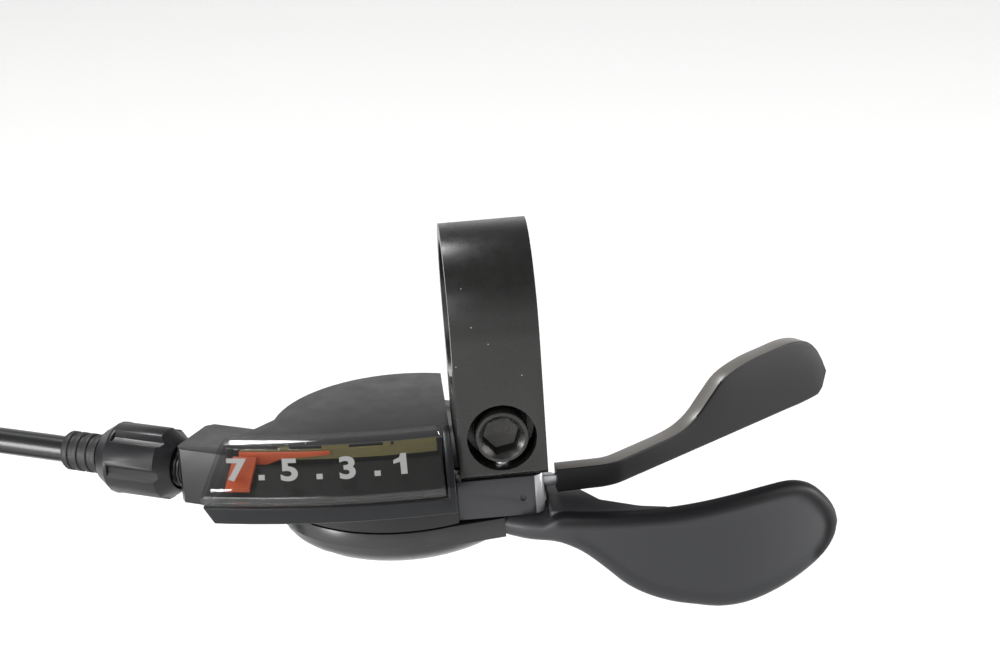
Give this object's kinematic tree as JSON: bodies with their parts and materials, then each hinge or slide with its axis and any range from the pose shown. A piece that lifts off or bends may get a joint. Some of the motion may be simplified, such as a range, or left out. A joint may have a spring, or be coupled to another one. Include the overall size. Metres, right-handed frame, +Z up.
{
  "type": "bicycle thumb shifter",
  "caption": "Right-hand bicycle gear shifter that clamps under a handlebar: thumb lever, release trigger, gear display with pointer, barrel adjuster and cable casing.",
  "frame": {"origin": "centre of the clamp's 22.2 mm bore, midway between its two flat ends", "axes": "+X along the handlebar toward the grip, +Y away from the rider, +Z up"},
  "size_m": [0.2004, 0.0604, 0.1187],
  "materials": {
    "black_paint": "satin",
    "dark_steel": "satin",
    "zinc": "satin",
    "black_plastic": "satin",
    "lever_plastic": "satin",
    "acetal": "satin",
    "brass": "satin",
    "spring_steel": "polished",
    "smoked_lens": "clear gloss",
    "orange_plastic": "satin",
    "amber_plastic": "gloss",
    "rubber": "matte",
    "casing_plastic": "gloss",
    "tie_nylon": "satin",
    "bright_cap": "satin"
  },
  "bodies": {
    "housing": {"clamp_band": "black_paint", "clamp_bolt": "dark_steel", "clamp_nut": "zinc", "base_plate": "dark_steel", "plate_rivet_front": "zinc", "plate_rivet_rear": "zinc", "upper_cover": "black_plastic", "lower_cover": "black_plastic", "cover_screw_1": "zinc", "cover_screw_2": "zinc", "cover_screw_3": "zinc", "main_axle": "zinc", "axle_washer": "zinc", "axle_nut": "zinc", "winder_spring": "spring_steel", "thumb_lever_spring": "spring_steel", "release_pin": "zinc", "release_spring": "spring_steel", "hold_pawl_pin": "zinc", "hold_pawl_spring": "spring_steel", "pod_base": "black_plastic", "lens": "smoked_lens", "needle_ribbon": "orange_plastic", "needle_rail": "amber_plastic", "adjuster_spring": "spring_steel", "inner_wire": "zinc", "shift_casing": "casing_plastic", "casing_coil": "casing_plastic", "coil_tie_1": "tie_nylon", "coil_tie_2": "tie_nylon", "coil_tie_3": "tie_nylon", "casing_end_cap": "bright_cap", "wire_tail": "zinc", "wire_crimp": "bright_cap"},
    "thumb_lever": {"thumb_lever_plate": "zinc", "thumb_paddle": "lever_plastic", "feed_pawl_pin": "zinc", "feed_pawl_spring": "spring_steel"},
    "feed_pawl_arm": {"feed_pawl": "dark_steel"},
    "winder": {"winder_drum": "acetal", "ratchet_plate": "zinc", "wire_nipple": "brass"},
    "pointer": {"needle": "orange_plastic"},
    "release_lever": {"release_lever_plate": "zinc", "release_trigger": "lever_plastic"},
    "hold_pawl_arm": {"hold_pawl": "dark_steel"},
    "adjuster_end": {"casing_boot": "rubber"},
    "adjuster": {"adjuster_knob": "black_plastic", "adjuster_barrel": "zinc"}
  },
  "joints": [
    {"name": "thumb_push", "type": "hinge", "parent": "housing", "child": "thumb_lever", "pos_m": [-0.014, 0.0042, -0.028], "axis": [0, 0, 1], "range_deg": [0, 36], "stiffness_Nm_per_rad": 0.08, "springref_deg": -20.05},
    {"name": "feed_pawl_swing", "type": "hinge", "parent": "thumb_lever", "child": "feed_pawl_arm", "pos_m": [-0.00574, 0.016, -0.0264], "axis": [0, 0, 1], "range_deg": [0, 5], "stiffness_Nm_per_rad": 0.002, "springref_deg": -11.46},
    {"name": "winder_turn", "type": "hinge", "parent": "housing", "child": "winder", "pos_m": [-0.014, 0.0042, -0.024], "axis": [0, 0, 1], "range_deg": [0, 98.18]},
    {"name": "needle_sweep", "type": "hinge", "parent": "housing", "child": "pointer", "pos_m": [-0.0135, 0.075, -0.017], "axis": [0, 0, 1], "range_deg": [0, 14.5]},
    {"name": "release_pull", "type": "hinge", "parent": "housing", "child": "release_lever", "pos_m": [0.0015, -0.0052, -0.023], "axis": [0, 0, -1], "range_deg": [0, 14], "stiffness_Nm_per_rad": 0.08, "springref_deg": -17.19},
    {"name": "hold_pawl_lift", "type": "hinge", "parent": "housing", "child": "hold_pawl_arm", "pos_m": [-0.0068, -0.0086, -0.0264], "axis": [0, 0, 1], "range_deg": [0, 12]},
    {"name": "adjuster_travel", "type": "slide", "parent": "housing", "child": "adjuster_end", "axis": [-0.866, 0.5, 0], "range_m": [-0.0016, 0.0016]},
    {"name": "adjuster_turn", "type": "hinge", "parent": "adjuster_end", "child": "adjuster", "pos_m": [-0.05031, 0.01331, -0.0239], "axis": [-0.866, 0.5, 0], "range_deg": [-720, 720]}
  ],
  "couplings": [
    {"joint": "needle_sweep", "follows": "winder_turn", "ratio": 0.14769},
    {"joint": "hold_pawl_lift", "follows": "release_pull", "ratio": 0.857},
    {"joint": "adjuster_turn", "follows": "adjuster_travel", "rad_per_m": 7850}
  ]
}
